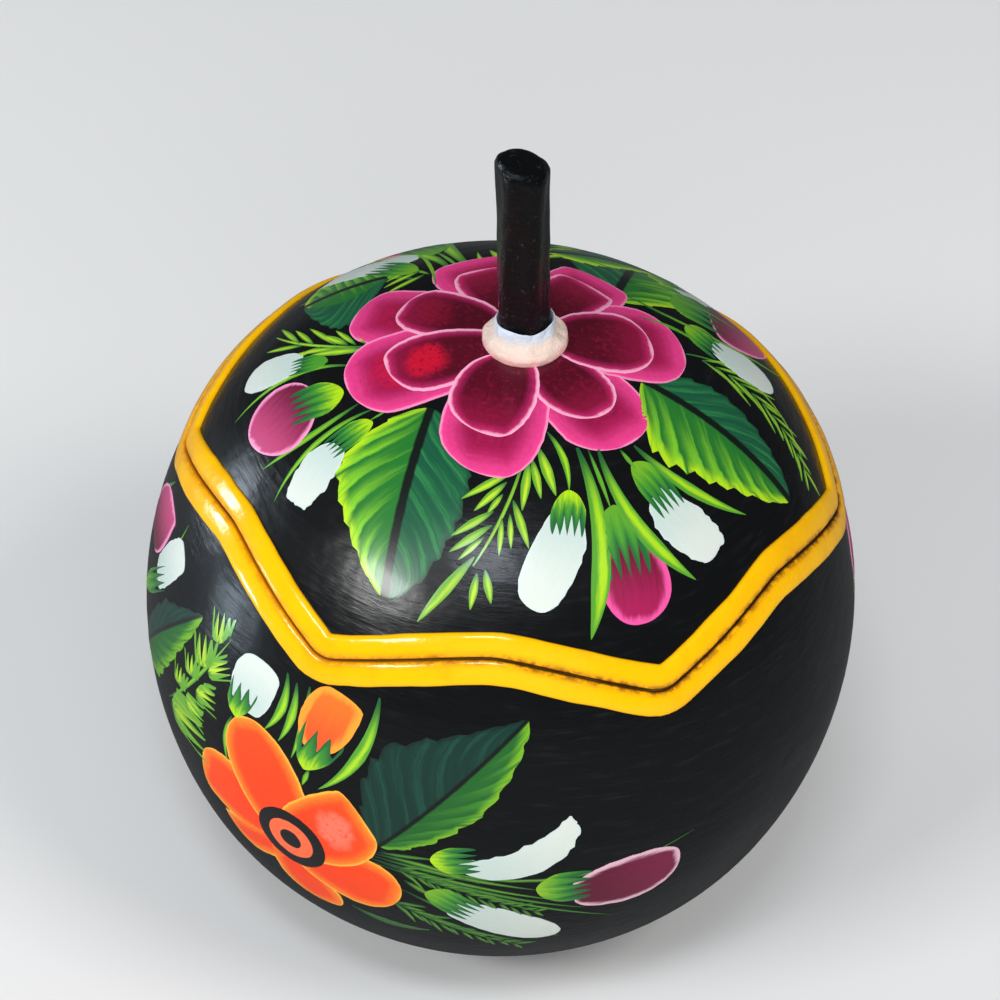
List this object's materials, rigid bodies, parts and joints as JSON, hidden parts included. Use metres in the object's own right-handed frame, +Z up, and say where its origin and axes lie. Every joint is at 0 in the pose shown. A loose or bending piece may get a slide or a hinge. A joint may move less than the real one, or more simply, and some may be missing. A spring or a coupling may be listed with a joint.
{
  "type": "lidded gourd box",
  "caption": "Round gourd box with a cut lid, six-sided scalloped seam, raised rim bands and a stem handle; black lacquer painted with flowers and leaves.",
  "frame": {"origin": "the middle of the flat foot, on the surface that the gourd stands on", "axes": "+Z up along the gourd's own axis toward the stem, -Y toward the front, where a side of the six-sided seam faces the viewer"},
  "size_m": [0.15, 0.15, 0.1885],
  "materials": {
    "bowl_lacquer": "satin black lacquer on gourd",
    "lid_lacquer": "satin black lacquer on gourd",
    "rim_band_paint": "glossy yellow lacquer, built up",
    "stem_lacquer": "glossy black lacquer",
    "collar_paste": "cream painted paste of wood dust"
  },
  "bodies": {
    "bowl": {"bowl_shell": "bowl_lacquer", "bowl_rim_band": "rim_band_paint"},
    "lid": {"lid_shell": "lid_lacquer", "lid_rim_band": "rim_band_paint", "stem": "stem_lacquer", "stem_collar": "collar_paste"}
  },
  "joints": [
    {"name": "lid_lift", "type": "slide", "parent": "bowl", "child": "lid", "axis": [0, 0, 1], "range_m": [0, 0.06]}
  ]
}
